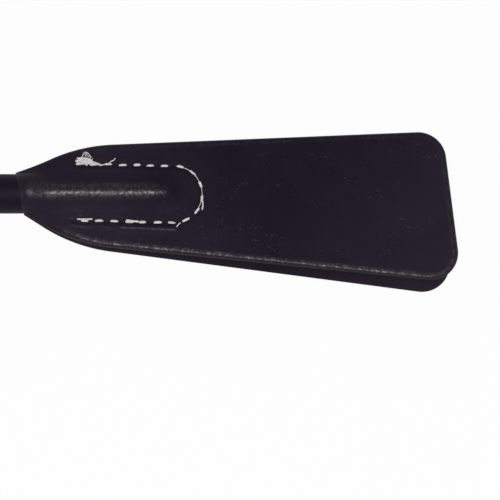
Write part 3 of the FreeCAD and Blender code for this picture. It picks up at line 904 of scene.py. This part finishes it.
# %% Grip
grip_start, grip_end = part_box("grip_leather")[0].x / MM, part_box("grip_leather")[1].x / MM
binding_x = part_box("grip_whipping")[0].x / MM - 0.05
skived, lap_pitch = 9.39, 15.0
grip_butt_x, grip_butt_radius, grip_front_radius = 12.1, 11.65, 10.6
core_butt_radius, core_front_radius = 9.45, 8.25
lap_rise, strip_swell, tuck_depth, turns_on = 0.62, 0.16, 0.45, 40.0


def grip_paint():
    paint = Paint("grip_leather_paint", Specular_IOR_Level=0.45)
    broad = paint.noise(60, 3, 0.5)
    cells = paint.cells(900)
    fine = paint.noise(2400, 3, 0.6)
    hand = paint.noise(150, 4, 0.6)
    tone = paint.mixed(broad.eased(0.3, 0.7), (0.0060, 0.0048, 0.0080, 1), (0.0110, 0.0088, 0.0130, 1))
    tone = paint.mixed(hand.eased(0.6, 0.8) * 0.4, tone, (0.020, 0.016, 0.018, 1))
    roughness = (0.5 + (hand - 0.5) * 0.3 + (broad - 0.5) * 0.2).between(0.2, 0.85)
    return paint.painted(tone, roughness, paint.bump(cells * 0.7 + fine * 0.4, 0.4, 0.00022))


def grip_surface(recipe, x, angle):
    ramp = (x * (1 / lap_pitch) - angle * (1 / (2 * math.pi)) + turns_on).fraction()
    edge = ramp.eased(0.93, 0.995, 0.0, 1.0)
    swell = (ramp * math.pi).sin() * strip_swell
    lap = ramp * lap_rise * (1 - edge) + swell - lap_rise
    slope = (grip_front_radius - grip_butt_radius) / (binding_x - grip_butt_x)
    taper = grip_butt_radius + (x - grip_butt_x) * slope
    tucked = x.eased(grip_butt_x, 14.0, tuck_depth, 0.0)
    body = taper + lap - tucked
    into_binding = x.eased(binding_x - 1.6, binding_x - 0.1)
    return body + (skived - body) * into_binding


def grip_core(x):
    slope = (core_front_radius - core_butt_radius) / (grip_end - grip_butt_x)
    return core_butt_radius + (x - grip_butt_x) * slope


grip = sleeve("grip", grip_start, grip_end, 520, 128, grip_surface, grip_core, grip_paint())
finished(grip, "crop", "black_leather", "grip_leather")

# %% [markdown]
# ## The whipping
# Nine turns of waxed cord bind the skived end of the grip. It is one long coil: a line whose points a
# rule turns round the handle, with a round cord swept along it. The first and last turns tuck in a
# little.

# %% Whipping
black_thread = thread_paint("black_cord", (0.012, 0.010, 0.014, 1), (0.022, 0.020, 0.024, 1), 0.55, 3000)
whip_low, whip_high = (value.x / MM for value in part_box("grip_whipping"))


def whipping(turns, cord):
    recipe = Recipe("whipping")
    points = recipe.line(recipe.size("points", 620, "NodeSocketInt"))
    share = recipe.node("GeometryNodeSplineParameter", {}, (), out="Factor")
    rounds = recipe.size("turns", turns)
    thick = recipe.size("cord", cord * MM)
    angle = share * rounds * (2 * math.pi)
    low = recipe.size("from", (whip_low + cord / 2) * MM)
    high = recipe.size("to", (whip_high - cord / 2) * MM)
    x = low + (high - low) * share
    tuck = ((share - 0.5).size() * 2).eased(0.93, 1.0) * thick * 0.6
    radius = recipe.size("bed", skived * MM) + thick * 0.55 - tuck
    coil = recipe.placed(points, recipe.joined(x, angle.cos() * radius, angle.sin() * radius))
    ring = recipe.node("GeometryNodeCurvePrimitiveCircle", {}, {"Resolution": 10, "Radius": thick * 0.52})
    cord_mesh = recipe.node("GeometryNodeCurveToMesh", {}, {"Curve": coil, "Profile Curve": ring,
                                                            "Fill Caps": True})
    return recipe.bake("whipping", cord_mesh, black_thread)


cord_turns, cord_width = 9.0, 0.88
finished(whipping(cord_turns, cord_width), "crop", "black_thread", "grip_whipping")

# %% [markdown]
# ## Metal, wood and resin
# The cap, the collar and their pins are nickel plate over brass: pale and slightly warm, with fine wiping
# scratches and dull patches. The wooden core and the glass-fibre rod are inside and only show in a
# section, and they get their own finish all the same.


# %% Nickel, wood and resin
def nickel():
    paint = Paint("nickel_plate", Metallic=1.0)
    haze = paint.noise(140, 4, 0.6)
    wipe = paint.noise(900, 3, 0.6, paint.stretched(0.08, 1.0, 1.0))
    spots = paint.noise(1300, 2, 0.5).eased(0.68, 0.78)
    tone = paint.mixed(haze.eased(0.35, 0.7), (0.71, 0.68, 0.63, 1), (0.58, 0.55, 0.50, 1))
    tone = paint.mixed(spots * 0.5, tone, (0.30, 0.26, 0.21, 1))
    roughness = (0.17 + haze * 0.16 + wipe * 0.12 + spots * 0.2).between(0.1, 0.7)
    return paint.painted(tone, roughness, paint.bump(wipe, 0.06, 0.00004))


def turned_wood():
    paint = Paint("turned_wood")
    rings = paint.noise(320, 4, 0.6, paint.stretched(0.06, 1, 1), 1.2)
    tone = paint.mixed(rings.eased(0.3, 0.7), (0.50, 0.34, 0.19, 1), (0.31, 0.19, 0.10, 1))
    return paint.painted(tone, 0.55 + rings * 0.2, paint.bump(rings, 0.2, 0.0001))


def glass_resin():
    paint = Paint("glass_resin", Coat_Roughness=0.15)
    fibre = paint.noise(1800, 3, 0.6, paint.stretched(0.02, 1, 1))
    tone = paint.mixed(fibre.eased(0.3, 0.7), (0.58, 0.56, 0.42, 1), (0.42, 0.41, 0.30, 1))
    return paint.painted(tone, 0.25 + fibre * 0.2, paint.bump(fibre, 0.15, 0.00005))


metal = nickel()
finishes = {node: metal for node in ("cap", "cap_pin", "collar", "collar_pin")}
finishes["handle_core"] = turned_wood()
for node, material in finishes.items():
    for slot in frame["nodes"][node].material_slots:
        slot.material = material
print("finished solids:", ", ".join(finishes))

# %% [markdown]
# ## The rod's thin end
# Inside the flap the rod is ground down thin and bound with waxed thread, with a domed tip, and the
# leather is moulded over that. Nobody sees it until the flap is cut open, but the tunnel is only as thick
# as what it covers. Both pieces are turned shapes: a profile of places along the axis and radii, carried
# round it.

# %% Rod and its bound tip
def turned(name, profile, material, hollow=False):
    """A closed turned shape about the shaft's axis. In a hollow one the profile closes on itself."""
    around = 48
    rounds = np.linspace(0, 2 * math.pi, around, endpoint=False)
    points = [(x, r * math.cos(turn), r * math.sin(turn)) for x, r in profile for turn in rounds]
    count = len(profile)
    faces = [(i * around + j, i * around + (j + 1) % around,
              (i + 1) % count * around + (j + 1) % around, (i + 1) % count * around + j)
             for i in range(count if hollow else count - 1) for j in range(around)]
    mesh = bpy.data.meshes.new(name)
    mesh.from_pydata(np.array(points) * MM, [], faces)
    mesh.materials.append(material)
    piece = linked(bpy.data.objects.new(name, mesh))
    closed(mesh)
    return piece


rod_start_x, rod_butt_radius, rod_neck_radius, bound_radius = 28.0, 4.3, 3.55, 1.85
bound_x, rod_stop_x, rod_chamfer = rod_end_x - 14.0, rod_end_x - 3.5, 0.6
rod_profile = [
    (rod_start_x, 0),
    (rod_start_x, rod_butt_radius - rod_chamfer),
    (rod_start_x + rod_chamfer, rod_butt_radius),
    (cover_end, rod_neck_radius),
    (cover_end + 6, rod_tip_radius),
    (bound_x, rod_tip_radius),
    (bound_x, bound_radius),
    (rod_stop_x - rod_chamfer, bound_radius),
    (rod_stop_x, bound_radius - rod_chamfer),
    (rod_stop_x, 0),
]
rod = turned("rod_ground_thin", rod_profile, glass_resin())
finished(rod, "crop", "glass_fibre", "rod")
dome = [(dome_x + rod_tip_radius * math.sin(turn), rod_tip_radius * math.cos(turn))
        for turn in np.linspace(0, math.pi / 2, 10)]
play = 0.05
bore = bound_radius + play
tip_profile = [(bound_x + play, bore), (bound_x + play, rod_tip_radius)] + dome
tip_profile += [(rod_stop_x + play, 0), (rod_stop_x + play, bore)]
bound_tip = turned("bound_tip", tip_profile, black_thread, hollow=True)
finished(bound_tip, "crop", "black_thread", "tip_whipping")

# %% [markdown]
# ## The studio
# The crop lies on a plain pale floor, on its cap's rim and the underside of the flap. The floor is white
# to the camera and in reflections, and still takes the shadow. One soft lamp hangs overhead, the walls
# are pale near the floor and dim above, and the camera looks almost straight down on the flap.


# %% Floor
# The two places where the crop touches the floor, as x and height in metres.
cap_low = (0.010, -0.0140)
flap_low = (dome_x * MM, -(half_gap + leaf_thickness + ridge_rise) * MM)


def pale(name, share):
    material = bpy.data.materials.new(name)
    material.use_nodes = True
    sketch = Sketch(material.node_tree)
    sketch.tree.nodes.clear()
    path = sketch.node("ShaderNodeLightPath")
    rays = {socket.name: Wire(sketch, socket) for socket in path.socket.node.outputs}
    seen = (rays["Is Camera Ray"] + rays["Is Glossy Ray"] + rays["Is Transmission Ray"]).at_most(1.0)
    cloth = sketch.node("ShaderNodeBsdfDiffuse", {}, {"Color": (0.86, 0.86, 0.86, 1)})
    white = sketch.node("ShaderNodeEmission", {}, {"Color": (1, 1, 1, 1), "Strength": 1.0})
    both = sketch.node("ShaderNodeMixShader", {}, {0: seen * share, 1: cloth, 2: white})
    sketch.node("ShaderNodeOutputMaterial", {}, (both,))
    return material


slope = (flap_low[1] - cap_low[1]) / (flap_low[0] - cap_low[0])
reach, clearance = 3.0, 0.0002
corners = [(x, y, cap_low[1] - clearance + slope * (x - cap_low[0])) for x, y in
           ((-reach, -reach), (reach, -reach), (reach, reach), (-reach, reach))]
floor_mesh = bpy.data.meshes.new("floor")
floor_mesh.from_pydata(corners, [], [(0, 1, 2, 3)])
floor_mesh.materials.append(pale("pale_floor", 0.93))
linked(bpy.data.objects.new("floor", floor_mesh))


# %% Walls and lamp
def walls():
    world = bpy.data.worlds.new("walls")
    bpy.context.scene.world = world
    world.use_nodes = True
    sketch = Sketch(world.node_tree)
    sketch.tree.nodes.clear()
    up = sketch.parts(sketch.node("ShaderNodeTexCoord", {}, (), out="Generated"))[2]
    pale_below, dim_above = 0.85, 0.26
    light = up.eased(0.10, 0.60, pale_below, dim_above)
    sketch.node("ShaderNodeOutputWorld", {}, (sketch.node("ShaderNodeBackground", {}, {
        "Color": sketch.joined(light, light, light), "Strength": 1.0}),))


def lamp(name, place, aim, size, power):
    data = bpy.data.lights.new(name, "AREA")
    data.shape = "RECTANGLE"
    data.size, data.size_y = size
    data.energy = power
    made = linked(bpy.data.objects.new(name, data))
    made.location = place
    made.rotation_mode = "QUATERNION"
    made.rotation_quaternion = (Vector(aim) - Vector(place)).to_track_quat("-Z", "Y")


walls()
flap_middle = Vector((0.5095, -0.01475, 0.002))
from_flap, lamp_size, lamp_power = Vector((-0.10, -0.20, 1.05)), (0.36, 0.30), 7.2
lamp("soft_lamp", flap_middle + from_flap, flap_middle, lamp_size, lamp_power)
print("lamp and walls set")


# %% Camera
def look(target, azimuth, elevation, distance, width):
    """A camera that sees this width at the target, looking along +Y when the azimuth is 0."""
    turn, rise = math.radians(azimuth), math.radians(elevation)
    back = Vector((math.sin(turn) * math.cos(rise), -math.cos(turn) * math.cos(rise), math.sin(rise)))
    data = bpy.data.cameras.new("camera")
    data.sensor_width = 36.0
    data.lens = data.sensor_width * distance / width
    data.clip_start, data.clip_end = 0.01, 50
    made = linked(bpy.data.objects.new("camera", data))
    made.location = target + back * distance
    made.rotation_mode = "QUATERNION"
    made.rotation_quaternion = (-back).to_track_quat("-Z", "Y")
    return made


camera_elevation, camera_distance, camera_width = 80, 0.45, 0.125
bpy.context.scene.camera = look(flap_middle, 0, camera_elevation, camera_distance, camera_width)
bpy.context.scene.view_settings.view_transform = "Standard"
